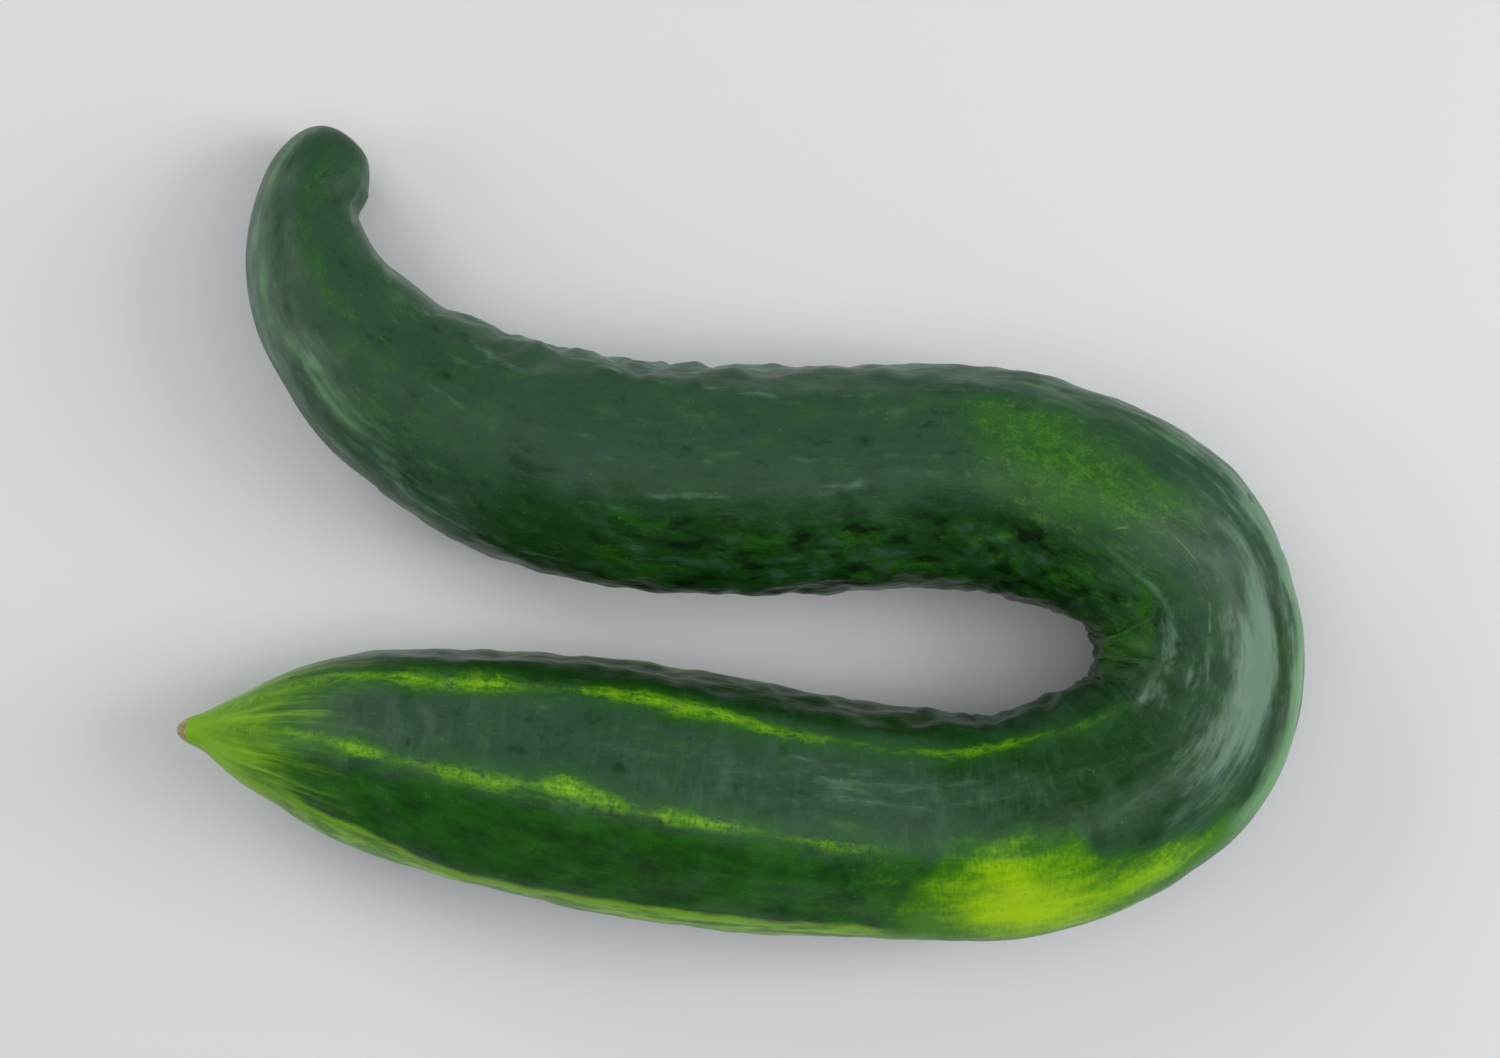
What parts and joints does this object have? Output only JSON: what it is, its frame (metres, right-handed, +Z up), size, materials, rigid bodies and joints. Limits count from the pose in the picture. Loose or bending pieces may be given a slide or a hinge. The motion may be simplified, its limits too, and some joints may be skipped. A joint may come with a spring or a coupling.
{
  "type": "cucumber",
  "caption": "Long slicing cucumber that grew in an S, with a hooked stem end, a tight half turn and a tapered blossom end; lies flat on a surface.",
  "frame": {"origin": "on the surface that the cucumber lies on, under the middle of its box", "axes": "+X along the two straight stretches towards the half turn, +Y towards the hooked stem end, +Z up from the surface"},
  "size_m": [0.2034, 0.1472, 0.0456],
  "materials": {
    "cucumber_skin": "waxy dark green skin with a soft sheen, pale green and yellow-green streaks and patches"
  },
  "bodies": {
    "root": {"cucumber": "cucumber_skin"}
  },
  "joints": []
}
